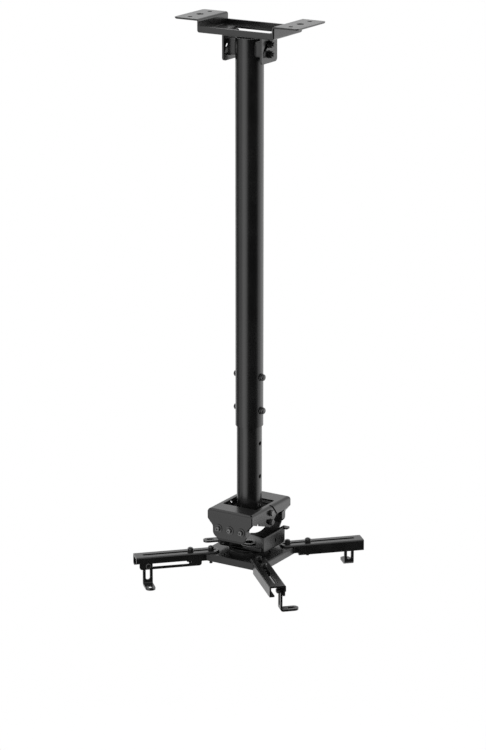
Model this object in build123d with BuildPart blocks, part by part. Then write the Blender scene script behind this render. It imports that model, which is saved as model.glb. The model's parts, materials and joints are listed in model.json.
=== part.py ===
from build123d import *
import math
import os

# Telescopic ceiling mount for a projector, in millimetres.
# Origin: centre of the ceiling face. +X runs along the ceiling bracket, -Y is the front, +Z is up.

# Sheet and running clearances
bracket_sheet = 3.0
head_sheet = 2.5
bend_radius = 3.0
bracket_bend = 2.0
slide_gap = 0.2
face_gap = 0.3
pin_gap = 0.1
slot_gap = 0.3
thread_gap = 0.05
sheet_bend_share = 0.8
hexagon_ease_share = 0.97
crown_share = 0.9
tip_chamfer_share = 0.1
button_round_share = 0.55
socket_share = 0.38
socket_depth_share = 0.6

# Ceiling bracket
bracket_length = 209.2
bracket_width = 81.8
tray_length = 130.0
tray_depth = 19.8
tray_rim = 9.6
cutout_length = 73.0
cutout_width = 47.0
ear_corner = 5.0
ear_hole_x = 170.0
ear_hole_pitch = 27.0
ear_hole = 7.0
ear_slot_hole = 11.0

# Hangers and the pole's tilt joint
hanger_span = 67.2
hanger_width = 43.6
hanger_drop = 61.0
hanger_flange = 20.0
hanger_corner = 5.0
tilt_axis_drop = 48.5
tilt_lock_reach = 15.0
ceiling_tilt_max = 90.0
m6 = 6.0
m6_flats = 10.0
m6_nut = 5.0
m6_washer = 12.0
m6_washer_thick = 1.2
stud_proud = 2.0
lug_width = 24.0
lug_top = 29.0
lug_height = 25.2
lug_corner = 5.0
stud_root_gap = 2.3

# Pole
outer_tube_diameter = 42.0
tube_wall = 1.8
outer_tube_top = 26.0
outer_tube_bottom = 614.0
inner_tube_top = 330.0
hole_pitch = 52.0
hole_rows = 4
clamp_foot_gap = 25.0
clamp_count = 2
cross_hole = 6.6
clamp_head = 4.5
clamp_nut_flats = 8.0
clamp_nut = 4.0

# Tilt housing
housing_top = 737.0
housing_length = 79.0
housing_width = 115.0
housing_height = 44.0
housing_bend = 5.0
housing_edge = 2.0
window_length = 60.0
window_front = 28.4
window_back = 25.0
panel_foot_length = 58.8
panel_shoulder_top = 14.3
panel_shoulder_bottom = 26.0
panel_shoulder_round = 6.0
panel_round = 10.0
panel_flange = 9.5
panel_flange_drop = 37.0
lobe_radius = 8.0
lobe_lead_turn = 35.0
notch_radius = 3.4
notch_y = -38.7
notch_drop = 20.0
flange_drop = 16.5
flange_bevel_y = 45.0
flange_end_drop = 13.0
slit_top_y = 1.5
slit_foot_y = 15.0
slit_width = 3.0
corner_relief = 3.0

# Head tilt joint
tilt_pivot_y = -3.0
tilt_pivot_drop = 10.0
head_lock_radius = 14.5
head_tilt_back = 15.0
head_tilt_forward = 20.0
lock_slot_lead = 26.0
tilt_head = 3.5
cheek_width = 15.0
cheek_top_radius = 4.6
cheek_corner = 5.0
cheek_bottom = 21.0
foot_plate_drop = 9.0
foot_plate_width = 34.0
foot_plate_ledge = 1.5
cable_hole = 26.0

# Roll joint and cradle
roll_axis_drop = 29.5
roll_lock_reach = 20.0
head_roll_max = 10.0
m4 = 4.0
roll_head = 8.0
roll_head_height = 3.2
roll_washer = 14.0
roll_washer_thick = 0.8
m4_flats = 7.0
m4_nut = 3.2
ear_length = 50.0
ear_above_axis = 10.0
ear_below_axis = 19.0
ear_round = 6.0
cradle_length = 81.4
cradle_front = 26.0
cradle_back = 39.0
cradle_floor_drop = 68.6
cradle_corner = 6.0
cradle_rim = 7.0
cradle_wall = 24.2
cradle_wall_inset = 2.0
cradle_lip = 6.0
front_neck = (-24.0, 6.0)
front_neck_rounds = (12.0, 12.0)
back_neck = (2.0, 24.0)
back_neck_rounds = (22.0, 12.0)
neck_root = 2.0
wall_slot_width = 3.0
wall_slot_height = 7.0
wall_slot_y = 10.0
hook_reach = 5.5
hook_length = 10.0
hook_round = 2.5

# Swivel
swivel_washer_diameter = 60.0
swivel_washer_thick = 1.5
swivel_disc_diameter = 66.0
swivel_disc_thick = 4.2
disc_chamfer = 2.0
hub_diameter = 18.0
hub_bore = 13.0
hub_flange = 28.0
hub_flange_thick = 3.0
hub_chamfer = 0.4
hub_collar_diameter = 22.0
hub_collar_height = 1.2

# Spider, arms and feet
spider_width = 111.0
spider_flange = 11.0
spider_fillet = 2.0
stub_reach = 99.0
arm_count = 4
arm_first_angle = 45.0
arm_width = 25.0
arm_inner = 47.5
arm_end_round = 10.0
arm_outer = 178.0
arm_wall_start = 75.0
arm_wall = 16.5
arm_lip = 7.5
arm_slot_inner = 52.0
arm_slot_outer = 166.0
arm_stud_inner = 60.0
arm_stud_outer = 92.0
arm_stud_below = 19.0
foot_wall = 19.6
foot_wall_step = 9.5
foot_wall_inner = 77.0
foot_wall_outer = 173.0
foot_wall_round = 4.0
side_slot_inner = 93.0
side_slot_outer = 164.0
foot_rest = 160.0
foot_bolt_drop = 13.4
m5 = 5.0
m5_head = 8.5
m5_head_height = 3.0
m5_flats = 8.0
m5_nut = 4.0
m5_washer = 10.0
m5_washer_thick = 1.0
arm_nut_turn = 30.0
foot_sheet = 3.0
foot_width = 15.0
foot_drop = 45.0
foot_above_bolt = 5.5
foot_slot = 6.6
foot_slot_length = 20.0
foot_reach = 29.0
foot_tab_round = 7.0
foot_tab_slot = 5.5
foot_tab_slot_length = 12.0
foot_tab_slot_reach = 18.0

# Levels and places that follow from the sizes above
tilt_axis_z = -tilt_axis_drop
hanger_outer = hanger_span / 2
hanger_inner = hanger_outer - bracket_sheet
outer_radius = outer_tube_diameter / 2
clamp_drop = outer_tube_bottom - clamp_foot_gap - hole_pitch * (clamp_count - 1)
inner_radius = outer_radius - tube_wall - slide_gap
housing_z = -housing_top
housing_inner_top = housing_z - head_sheet
housing_half = housing_length / 2
panel_y = housing_width / 2
head_pivot_z = housing_z - tilt_pivot_drop
foot_plate_top = housing_z - foot_plate_drop
cheek_outer = housing_half - head_sheet - face_gap
roll_z = housing_z - roll_axis_drop
ear_y = panel_y - head_sheet - face_gap
ear_inner_y = ear_y - head_sheet
cradle_z = housing_z - cradle_floor_drop
cradle_floor_top = cradle_z + head_sheet
cradle_half = cradle_length / 2
washer_top = cradle_z - slide_gap
disc_top = washer_top - swivel_washer_thick
spider_top = disc_top - swivel_disc_thick
spider_under = spider_top - head_sheet
arm_under = spider_top + slide_gap
arm_top = arm_under + head_sheet
stub_half = arm_width / 2 - head_sheet - slide_gap
foot_bolt_z = arm_top - foot_bolt_drop
foot_outer_across = arm_width / 2 - head_sheet - slide_gap
foot_inner_across = foot_outer_across - foot_sheet
arm_angles = [arm_first_angle + 360 / arm_count * i for i in range(arm_count)]

os.makedirs("parts", exist_ok=True)


def save(part, name):
    """Labels a finished piece and writes it to its own file."""
    part.label = name
    export_step(part, f"parts/{name}.step")


def hexagon_radius(flats):
    """Corner radius of a hexagon of the given width across flats."""
    return flats / math.sqrt(3)


def eased_radius(flats):
    """Radius of the round bar that a hexagon's corners are eased to."""
    return hexagon_radius(flats) * hexagon_ease_share


def crown(flats):
    """Chamfer that takes a hexagon's corners almost down to its flats."""
    return (eased_radius(flats) - flats / 2) * crown_share


def far_face(faces, plane):
    """The flat face farthest out along a plane's normal."""
    flat_faces = faces.filter_by(GeomType.PLANE)
    return max(flat_faces, key=lambda face: (face.center() - plane.origin).dot(plane.z_dir))


def nut(plane, flats, height, bore, turn=0):
    """A hexagon nut with chamfered corners that stands on the plane."""
    with BuildPart() as blank:
        with BuildSketch(plane):
            Circle(eased_radius(flats))
        extrude(amount=height)
        chamfer(blank.edges().filter_by(GeomType.CIRCLE), crown(flats))
        with BuildSketch(plane):
            RegularPolygon(hexagon_radius(flats), 6, rotation=turn)
            Circle(bore / 2 + thread_gap, mode=Mode.SUBTRACT)
        extrude(amount=height, mode=Mode.INTERSECT)
    return blank.part


def washer(plane, diameter, bore, thick):
    """A flat washer that lies on the plane."""
    with BuildPart() as ring:
        with BuildSketch(plane):
            Circle(diameter / 2)
            Circle(bore / 2 + thread_gap, mode=Mode.SUBTRACT)
        extrude(amount=thick)
    return ring.part


def rod(plane, diameter, length):
    """A round rod with a chamfered far end, standing on the plane."""
    with BuildPart() as bar:
        with BuildSketch(plane):
            Circle(diameter / 2)
        extrude(amount=length)
        chamfer(far_face(bar.faces(), plane).edges(), diameter * tip_chamfer_share)
    return bar.part


def button_bolt(plane, diameter, grip, head, head_height):
    """A button-headed bolt: the head stands on the plane, the shank runs behind it."""
    with BuildPart() as bolt:
        with BuildSketch(plane):
            Circle(head / 2)
        extrude(amount=head_height)
        fillet(far_face(bolt.faces(), plane).edges(), head_height * button_round_share)
        with BuildSketch(plane.offset(head_height)):
            RegularPolygon(diameter * socket_share, 6)
        extrude(amount=-head_height * socket_depth_share, mode=Mode.SUBTRACT)
        with BuildSketch(plane):
            Circle(diameter / 2)
        extrude(amount=-grip)
    return bolt.part


def group(solids):
    """Separate solids of one kind, kept together in one node."""
    return Compound(children=list(solids))


def side_plane(x, y, z, side):
    """A plane at a point, facing +X or -X."""
    return Plane(origin=(x * side, y, z), x_dir=(0, side, 0), z_dir=(side, 0, 0))


# Ceiling bracket: a hat-shaped fold with rims along the tray
with BuildPart() as ceiling_bracket:
    mid = bracket_sheet / 2
    with BuildSketch(Plane.XZ):
        with BuildLine():
            FilletPolyline(
                (-bracket_length / 2, -mid),
                (-tray_length / 2 + mid, -mid),
                (-tray_length / 2 + mid, mid - tray_depth),
                (tray_length / 2 - mid, mid - tray_depth),
                (tray_length / 2 - mid, -mid),
                (bracket_length / 2, -mid),
                radius=bracket_bend,
            )
        trace(line_width=bracket_sheet)
    extrude(amount=bracket_width / 2, both=True)
    ear_edges = ceiling_bracket.edges().filter_by(Axis.Z)
    fillet(ear_edges.group_by(Axis.X)[0] + ear_edges.group_by(Axis.X)[-1], ear_corner)
    rim_length = tray_length - bracket_sheet - 2 * bracket_bend
    with BuildSketch(Plane.XY.offset(-tray_depth)):
        with GridLocations(0, bracket_width - bracket_sheet, 1, 2):
            Rectangle(rim_length, bracket_sheet)
    extrude(amount=tray_rim)
    rim_above_bend = tray_rim - bracket_bend - mid
    with BuildSketch(Plane.XY.offset(tray_rim - rim_above_bend - tray_depth)):
        with GridLocations(0, bracket_width - bracket_sheet, 1, 2):
            Rectangle(tray_length - 2 * bracket_sheet, bracket_sheet)
    extrude(amount=rim_above_bend)
    low_edges = ceiling_bracket.edges().filter_by(Axis.X).group_by(Axis.Z)[0]
    rim_bends = low_edges.group_by(Axis.Y)[0] + low_edges.group_by(Axis.Y)[-1]
    fillet(rim_bends.group_by(SortBy.LENGTH)[-1], bracket_sheet * sheet_bend_share)
    with BuildSketch(Plane.XY.offset(-tray_depth)):
        Rectangle(cutout_length, cutout_width)
        fillet(vertices(), bend_radius)
    extrude(amount=bracket_sheet, mode=Mode.SUBTRACT)
    with BuildSketch(Plane.XY):
        with GridLocations(ear_hole_x, 2 * ear_hole_pitch, 2, 2):
            Circle(ear_hole / 2)
        with GridLocations(ear_hole_x, 0, 2, 1):
            Circle(ear_slot_hole / 2)
    extrude(amount=-bracket_sheet, mode=Mode.SUBTRACT)
save(ceiling_bracket.part, "ceiling_bracket")


def hanger(side):
    """An angle under the tray: flange outwards, slotted tab down."""
    mid = bracket_sheet / 2
    lock_path = CenterArc((0, tilt_axis_z), tilt_lock_reach, 90, ceiling_tilt_max)
    with BuildPart() as angle:
        with BuildSketch(Plane.XZ):
            with BuildLine():
                FilletPolyline(
                    (side * (hanger_outer + hanger_flange), -tray_depth - mid),
                    (side * (hanger_outer - mid), -tray_depth - mid),
                    (side * (hanger_outer - mid), -hanger_drop),
                    radius=bracket_bend,
                )
            trace(line_width=bracket_sheet)
        extrude(amount=hanger_width / 2, both=True)
        fillet(angle.edges().filter_by(Axis.X).group_by(Axis.Z)[0], hanger_corner)
        with BuildSketch(Plane.YZ.offset(side * (hanger_outer - mid))):
            with Locations((0, tilt_axis_z)):
                Circle(m6 / 2 + pin_gap)
            SlotArc(lock_path, m6 + 2 * slot_gap)
        extrude(amount=bracket_sheet, both=True, mode=Mode.SUBTRACT)
    return angle.part


save(hanger(-1), "hanger_left")
save(hanger(1), "hanger_right")

# Studs, washers and nuts of the ceiling tilt: the lower pair is the pivot, the upper pair locks
stud_levels = (tilt_axis_z, tilt_axis_z + tilt_lock_reach)
hanger_seats = [(side, z) for side in (-1, 1) for z in stud_levels]
hanger_washer_x = hanger_outer + slide_gap
hanger_nut_x = hanger_washer_x + m6_washer_thick
stud_root_x = outer_radius + stud_root_gap
stud_length = hanger_nut_x + m6_nut + stud_proud - stud_root_x
save(group(rod(side_plane(stud_root_x, 0, z, s), m6, stud_length) for s, z in hanger_seats), "hanger_studs")
save(
    group(
        washer(side_plane(hanger_washer_x, 0, z, s), m6_washer, m6, m6_washer_thick) for s, z in hanger_seats
    ),
    "hanger_washers",
)
save(
    group(nut(side_plane(hanger_nut_x, 0, z, s), m6_flats, m6_nut, m6) for s, z in hanger_seats),
    "hanger_nuts",
)


def lug(side):
    """A block between the pole's top and a hanger, hollowed to the pole's round."""
    with BuildPart() as block:
        with BuildSketch(Plane.YZ):
            with Locations((0, -lug_top - lug_height / 2)):
                Rectangle(lug_width, lug_height)
            fillet(vertices().group_by(Axis.Y)[0], lug_corner)
            fillet(vertices().group_by(Axis.Y)[-1], lug_corner / 2)
        extrude(amount=side * (hanger_inner - face_gap))
        with BuildSketch(Plane.XY):
            Circle(outer_radius)
        extrude(amount=-hanger_drop, mode=Mode.SUBTRACT)
        with BuildSketch(Plane.YZ.offset(side * stud_root_x)):
            with Locations(*[(0, z) for z in stud_levels]):
                Circle(m6 / 2 + thread_gap)
        extrude(amount=side * (hanger_inner - stud_root_x), mode=Mode.SUBTRACT)
    return block.part


save(lug(-1), "lug_left")
save(lug(1), "lug_right")

# Outer tube, with clearance holes for the clamp bolts
clamp_levels = [-clamp_drop - hole_pitch * i for i in range(clamp_count)]
with BuildPart() as outer_tube:
    with BuildSketch(Plane.XY.offset(-outer_tube_bottom)):
        Circle(outer_radius)
        Circle(outer_radius - tube_wall, mode=Mode.SUBTRACT)
    extrude(amount=outer_tube_bottom - outer_tube_top)
    with BuildSketch(Plane.YZ):
        with Locations(*[(0, z) for z in clamp_levels]):
            Circle(m6 / 2)
    extrude(amount=outer_radius, both=True, mode=Mode.SUBTRACT)
save(outer_tube.part, "outer_tube")


def clamp_bolt(z):
    """A clamp bolt on the +X side that ends just off the inner tube."""
    seat = side_plane(outer_radius, 0, z, 1)
    with BuildPart() as bolt:
        with BuildSketch(seat):
            Circle(m6_washer / 2)
        extrude(amount=m6_washer_thick)
        with BuildSketch(seat.offset(m6_washer_thick)):
            Circle(m6_flats / 2)
        extrude(amount=clamp_head)
        fillet(bolt.edges().group_by(Axis.X)[-1], clamp_head * button_round_share)
        with BuildSketch(seat):
            Circle(m6 / 2)
        extrude(amount=-tube_wall)
        with BuildSketch(Plane.XY.offset(z - m6_washer)):
            Circle(outer_radius)
        extrude(amount=2 * m6_washer, mode=Mode.SUBTRACT)
        with BuildSketch(seat):
            Circle(m6 / 2)
        extrude(amount=-tube_wall)
    return bolt.part


def clamp_nut_part(z):
    """The bolt's far end on the -X side: a small nut with a short end of thread."""
    seat = side_plane(outer_radius, 0, z, -1)
    with BuildPart() as end:
        with BuildSketch(seat):
            RegularPolygon(hexagon_radius(clamp_nut_flats), 6)
        extrude(amount=clamp_nut)
        with BuildSketch(seat):
            Circle(m6 / 2)
        extrude(amount=clamp_nut + stud_proud / 2)
        with BuildSketch(Plane.XY.offset(z - m6_washer)):
            Circle(outer_radius)
        extrude(amount=2 * m6_washer, mode=Mode.SUBTRACT)
        with BuildSketch(seat):
            Circle(m6 / 2)
        extrude(amount=-tube_wall)
    return end.part


save(group(clamp_bolt(z) for z in clamp_levels), "clamp_bolts")
save(group(clamp_nut_part(z) for z in clamp_levels), "clamp_nuts")

# Inner tube, with rows of cross holes below the clamp bolts
with BuildPart() as inner_tube:
    with BuildSketch(Plane.XY.offset(foot_plate_top)):
        Circle(inner_radius)
        Circle(inner_radius - tube_wall, mode=Mode.SUBTRACT)
    extrude(amount=-inner_tube_top - foot_plate_top)
    with BuildSketch(Plane.YZ):
        with Locations(*[(0, -clamp_drop - hole_pitch * i) for i in range(hole_rows)]):
            Circle(cross_hole / 2)
    extrude(amount=outer_radius, both=True, mode=Mode.SUBTRACT)
save(inner_tube.part, "inner_tube")

# Pole foot: a plate welded under the inner tube, between two cheeks that carry the tilt bolts
head_lock_z = head_pivot_z - head_lock_radius
cheek_inner = cheek_outer - head_sheet
with BuildPart() as pole_foot:
    with BuildSketch(Plane.XY.offset(foot_plate_top)):
        Rectangle(2 * cheek_inner, foot_plate_width)
        Circle(inner_radius + foot_plate_ledge)
        Circle(cable_hole / 2, mode=Mode.SUBTRACT)
    extrude(amount=-head_sheet)
    for side in (-1, 1):
        with BuildSketch(Plane.YZ.offset(side * cheek_outer)):
            with Locations((tilt_pivot_y, (foot_plate_top + head_pivot_z - cheek_bottom) / 2)):
                RectangleRounded(cheek_width, foot_plate_top - head_pivot_z + cheek_bottom, cheek_corner)
            with Locations((tilt_pivot_y, head_pivot_z)):
                Circle(cheek_top_radius)
            with Locations((tilt_pivot_y, head_pivot_z), (tilt_pivot_y, head_lock_z)):
                Circle(m5 / 2 + thread_gap, mode=Mode.SUBTRACT)
        extrude(amount=-side * head_sheet)
save(pole_foot.part, "pole_foot")

# Tilt housing: a folded box, open below, with a window for the pole
housing_foot = housing_z - housing_height
inner_depth = panel_y - head_sheet
roll_lock_paths = [
    CenterArc((0, roll_z), roll_lock_reach, middle - head_roll_max, 2 * head_roll_max) for middle in (0, 180)
]
tilt_pivot = (tilt_pivot_y, head_pivot_z)
lobe_lead = (
    tilt_pivot_y - lobe_radius * math.sin(math.radians(lobe_lead_turn)),
    head_lock_z - lobe_radius * math.cos(math.radians(lobe_lead_turn)),
)
lock_slot_front = head_tilt_forward + lock_slot_lead
tilt_lock_path = CenterArc(
    tilt_pivot, head_lock_radius, 270 - lock_slot_front, lock_slot_front + head_tilt_back
)
slit_run = slit_foot_y - slit_top_y
slit_slope = math.degrees(math.atan2(flange_drop, slit_run))
slit_length = math.hypot(slit_run, flange_drop) + 2 * housing_bend
slit_middle = ((slit_top_y + slit_foot_y) / 2, housing_z - flange_drop / 2)
shoulder_run = housing_half - panel_foot_length / 2
shoulder_rise = panel_shoulder_bottom - panel_shoulder_top
shoulder_inset = head_sheet / 2 * math.hypot(shoulder_run, shoulder_rise) / shoulder_rise
panel_flange_x = panel_foot_length / 2 - head_sheet / 2
panel_flange_corner = panel_shoulder_bottom - (shoulder_inset - head_sheet / 2) * shoulder_rise / shoulder_run
with BuildPart() as tilt_housing:
    with BuildSketch(Plane.XY.offset(housing_z)):
        RectangleRounded(housing_length, housing_width, housing_edge)
    extrude(amount=-housing_height)
    fillet(tilt_housing.edges().filter_by(Axis.Y).group_by(Axis.Z)[-1], housing_bend)
    with BuildSketch(Plane.XY.offset(housing_inner_top)):
        Rectangle(housing_length - 2 * head_sheet, 2 * inner_depth)
    extrude(amount=-housing_height, mode=Mode.SUBTRACT)
    with BuildSketch(Plane.XY.offset(housing_z)):
        with Locations((0, (window_back - window_front) / 2)):
            RectangleRounded(window_length, window_back + window_front, bend_radius)
    extrude(amount=-head_sheet, mode=Mode.SUBTRACT)
    # Side openings: all that is below the wing, its round lobe and the rear flange goes
    with BuildSketch(Plane.YZ):
        with Locations((0, (housing_inner_top + housing_foot) / 2)):
            Rectangle(2 * inner_depth, housing_inner_top - housing_foot)
        with BuildLine():
            Polyline(
                (-panel_y, housing_z),
                (-panel_y, housing_z - panel_shoulder_top),
                lobe_lead,
                (tilt_pivot_y + lobe_radius, head_lock_z),
                (slit_foot_y, housing_z - flange_drop),
                (flange_bevel_y, housing_z - flange_drop),
                (panel_y, housing_z - flange_end_drop),
                (panel_y, housing_z),
                close=True,
            )
        make_face(mode=Mode.SUBTRACT)
        with Locations((tilt_pivot_y, head_lock_z)):
            Circle(lobe_radius, mode=Mode.SUBTRACT)
    extrude(amount=housing_length, both=True, mode=Mode.SUBTRACT)
    # Front and back panels: shoulders cut away, edges turned in beside them, lower corners rounded
    for side in (-1, 1):
        with BuildSketch(Plane.XZ.offset(-side * inner_depth)):
            with BuildLine():
                Polyline(
                    (panel_foot_length / 2, housing_foot),
                    (panel_foot_length / 2, housing_z - panel_shoulder_bottom),
                    (housing_half, housing_z - panel_shoulder_top),
                    (housing_half, housing_foot),
                    close=True,
                )
            make_face()
            fillet(vertices().group_by(Axis.Y)[1], panel_shoulder_round)
            mirror(about=Plane.YZ)
        extrude(amount=-side * head_sheet, mode=Mode.SUBTRACT)
    fillet(tilt_housing.edges().filter_by(Axis.Y).group_by(Axis.Z)[0], panel_round)
    for side in (-1, 1):
        with BuildSketch(Plane.XZ.offset(-side * inner_depth)):
            with BuildLine():
                FilletPolyline(
                    (housing_half - shoulder_inset, housing_z - panel_shoulder_top),
                    (panel_flange_x, housing_z - panel_flange_corner),
                    (panel_flange_x, housing_z - panel_flange_drop),
                    radius=panel_shoulder_round + head_sheet / 2,
                )
            trace(line_width=head_sheet)
            mirror(about=Plane.YZ)
        extrude(amount=side * (panel_flange - head_sheet))
    # Roll pivot holes and lock slots in the panels
    with BuildSketch(Plane.XZ):
        with Locations((0, roll_z)):
            Circle(m4 / 2 + pin_gap)
        for lock_path in roll_lock_paths:
            SlotArc(lock_path, m4 + 2 * slot_gap)
    extrude(amount=housing_width, both=True, mode=Mode.SUBTRACT)
    # Side wings: tilt pivot hole, lock slot, a notch, and the slit in front of the rear flange
    for side in (-1, 1):
        with BuildSketch(Plane.YZ.offset(side * (housing_half - housing_bend))):
            with Locations(tilt_pivot):
                Circle(m5 / 2 + pin_gap)
            SlotArc(tilt_lock_path, m5 + 2 * slot_gap)
            with Locations((notch_y, housing_z - notch_drop)):
                Circle(notch_radius)
            with Locations(slit_middle):
                Rectangle(slit_length, slit_width, rotation=-slit_slope)
        extrude(amount=side * housing_bend, mode=Mode.SUBTRACT)
    # Relief holes where the top, the front panel and the wings meet
    with BuildSketch(Plane.XY.offset(housing_z)):
        with Locations((0, corner_relief - panel_y)):
            with GridLocations(housing_length - 2 * corner_relief, 0, 2, 1):
                Circle(corner_relief / 2)
    extrude(amount=-2 * head_sheet, mode=Mode.SUBTRACT)
save(tilt_housing.part, "tilt_housing")


def hex_bolt(plane, diameter, grip, flats, head):
    """A hexagon bolt: the head stands on the plane, the shank runs behind it."""
    with BuildPart() as bolt:
        with BuildSketch(plane):
            Circle(eased_radius(flats))
        extrude(amount=head)
        chamfer(far_face(bolt.faces(), plane).edges(), crown(flats))
        with BuildSketch(plane):
            RegularPolygon(hexagon_radius(flats), 6)
        extrude(amount=head, mode=Mode.INTERSECT)
        with BuildSketch(plane):
            Circle(diameter / 2)
        extrude(amount=-grip)
    return bolt.part


# Tilt bolts and washers: upper pair is the pivot, lower pair locks in the wings' slots
tilt_points = [(side, z) for side in (-1, 1) for z in (head_pivot_z, head_lock_z)]
tilt_washer_x = housing_half + slide_gap
tilt_head_x = tilt_washer_x + m5_washer_thick
tilt_grip = tilt_head_x - cheek_inner
save(
    group(
        hex_bolt(side_plane(tilt_head_x, tilt_pivot_y, z, s), m5, tilt_grip, m5_flats, tilt_head)
        for s, z in tilt_points
    ),
    "tilt_bolts",
)
save(
    group(
        washer(side_plane(tilt_washer_x, tilt_pivot_y, z, s), m5_washer, m5, m5_washer_thick)
        for s, z in tilt_points
    ),
    "tilt_washers",
)

# Roll bolts, washers and nuts: the middle one is the pivot, the outer two lock in the panel slots
roll_points = [(side, x) for side in (-1, 1) for x in (-roll_lock_reach, 0, roll_lock_reach)]
roll_washer_y = panel_y + slide_gap
roll_head_y = roll_washer_y + roll_washer_thick
roll_grip = roll_head_y - ear_inner_y + m4_nut + stud_proud / 2


def panel_plane(x, y, z, side):
    """A plane at a point of a panel, facing away from the head."""
    return Plane(origin=(x, y * side, z), x_dir=(-side, 0, 0), z_dir=(0, side, 0))


save(
    group(
        button_bolt(panel_plane(x, roll_head_y, roll_z, s), m4, roll_grip, roll_head, roll_head_height)
        for s, x in roll_points
    ),
    "roll_bolts",
)
save(
    group(
        washer(panel_plane(x, roll_washer_y, roll_z, s), roll_washer, m4, roll_washer_thick)
        for s, x in roll_points
    ),
    "roll_washers",
)
save(
    group(nut(panel_plane(x, ear_inner_y - m4_nut, roll_z, s), m4_flats, m4_nut, m4) for s, x in roll_points),
    "roll_nuts",
)


def neck_plane(side, tray_edge):
    """The slanted plane of a neck, from the tray's edge up to an ear."""
    run = side * (ear_y - tray_edge)
    rise = roll_z - ear_below_axis + head_sheet - cradle_floor_top
    slope = Vector(0, run, rise)
    normal = Vector(1, 0, 0).cross(slope.normalized())
    return Plane(origin=(0, side * tray_edge, cradle_floor_top), x_dir=(1, 0, 0), z_dir=normal), slope.length


# Roll cradle: a tray with side walls, and an ear at each end that rises on a slanted neck
cradle_middle = (cradle_back - cradle_front) / 2
cradle_width = cradle_back + cradle_front
wall_length = cradle_width - 2 * cradle_wall_inset
wall_top = cradle_z + cradle_wall
with BuildPart() as roll_cradle:
    with BuildSketch(Plane.XY.offset(cradle_z)):
        with Locations((0, cradle_middle)):
            RectangleRounded(cradle_length, cradle_width, cradle_corner)
    extrude(amount=cradle_rim)
    fillet(roll_cradle.edges().group_by(Axis.Z)[0], head_sheet * sheet_bend_share)
    with BuildSketch(Plane.XY.offset(cradle_floor_top)):
        with Locations((0, cradle_middle)):
            RectangleRounded(
                cradle_length - 2 * head_sheet, cradle_width - 2 * head_sheet, cradle_corner - head_sheet
            )
    extrude(amount=cradle_rim, mode=Mode.SUBTRACT)
    # The back edge has no rim: the floor runs on into the neck there
    with BuildSketch(Plane.XY.offset(cradle_floor_top)):
        with Locations((0, cradle_back - head_sheet / 2)):
            Rectangle(cradle_length - 2 * cradle_corner, head_sheet)
    extrude(amount=cradle_rim, mode=Mode.SUBTRACT)
    for side in (-1, 1):
        with BuildSketch(Plane.YZ.offset(side * cradle_half)):
            with Locations((cradle_middle, (wall_top + cradle_floor_top) / 2)):
                Rectangle(wall_length, wall_top - cradle_floor_top)
            with Locations((wall_slot_y, (wall_top + cradle_z) / 2)):
                Rectangle(wall_slot_width, wall_slot_height, mode=Mode.SUBTRACT)
        extrude(amount=-side * head_sheet)
        with BuildSketch(Plane.XY.offset(wall_top)):
            with Locations((side * (cradle_half - cradle_lip / 2), cradle_middle)):
                Rectangle(cradle_lip, wall_length)
        extrude(amount=-head_sheet)
    wall_bends = roll_cradle.edges().filter_by(Axis.Y).group_by(Axis.Z)[-1].group_by(Axis.X)
    fillet(wall_bends[0] + wall_bends[-1], head_sheet * sheet_bend_share)
    for side in (-1, 1):
        with BuildSketch(Plane.XY.offset(wall_top)):
            with Locations((side * (cradle_half + (hook_reach - cradle_lip) / 2), cradle_back)):
                RectangleRounded(cradle_lip + hook_reach, hook_length, hook_round)
        extrude(amount=-head_sheet)
    necks = (
        (-1, cradle_front, front_neck, front_neck_rounds),
        (1, cradle_back, back_neck, back_neck_rounds),
    )
    for side, edge, (left, right), (left_round, right_round) in necks:
        plane, length = neck_plane(side, edge)
        root_left = left - left_round
        root_right = right + right_round
        with BuildSketch(plane):
            with BuildLine():
                CenterArc((root_left, left_round), left_round, 270, 90)
                Polyline((left, left_round), (left, length), (right, length), (right, right_round))
                CenterArc((root_right, right_round), right_round, 180, 90)
                Polyline((root_right, 0), (root_right, -neck_root), (root_left, -neck_root), (root_left, 0))
            make_face()
        extrude(amount=side * head_sheet)
        with BuildSketch(Plane.XZ.offset(-side * ear_y)):
            with Locations((0, roll_z + (ear_above_axis - ear_below_axis) / 2)):
                RectangleRounded(ear_length, ear_above_axis + ear_below_axis, ear_round)
            with Locations((0, roll_z)):
                with GridLocations(roll_lock_reach, 0, 3, 1):
                    Circle(m4 / 2 + thread_gap, mode=Mode.SUBTRACT)
        extrude(amount=side * head_sheet)
    with BuildSketch(Plane.XY.offset(cradle_z)):
        Circle(hub_diameter / 2 + pin_gap)
    extrude(amount=head_sheet, mode=Mode.SUBTRACT)
save(roll_cradle.part, "roll_cradle")

# Swivel: a washer and a disc on the spider, held to the cradle's floor by a hollow hub and its collar
save(
    washer(Plane.XY.offset(disc_top), swivel_washer_diameter, hub_diameter, swivel_washer_thick),
    "swivel_washer",
)
with BuildPart() as swivel_disc:
    with BuildSketch(Plane.XY.offset(spider_top)):
        Circle(swivel_disc_diameter / 2)
        Circle(hub_diameter / 2 + thread_gap, mode=Mode.SUBTRACT)
    extrude(amount=swivel_disc_thick)
    chamfer(swivel_disc.edges().group_by(Axis.Z)[-1].sort_by(SortBy.RADIUS)[-1], disc_chamfer)
save(swivel_disc.part, "swivel_disc")
hub_collar_z = cradle_floor_top + slide_gap
hub_top = hub_collar_z + hub_collar_height
with BuildPart() as swivel_hub:
    with BuildSketch(Plane.XY.offset(spider_under)):
        Circle(hub_flange / 2)
    extrude(amount=-hub_flange_thick)
    with BuildSketch(Plane.XY.offset(spider_under)):
        Circle(hub_diameter / 2)
    extrude(amount=hub_top - spider_under)
    with BuildSketch(Plane.XY.offset(hub_top)):
        Circle(hub_bore / 2)
    extrude(amount=spider_under - hub_flange_thick - hub_top, mode=Mode.SUBTRACT)
    chamfer(swivel_hub.edges().group_by(Axis.Z)[-1], hub_chamfer)
save(swivel_hub.part, "swivel_hub")
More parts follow.
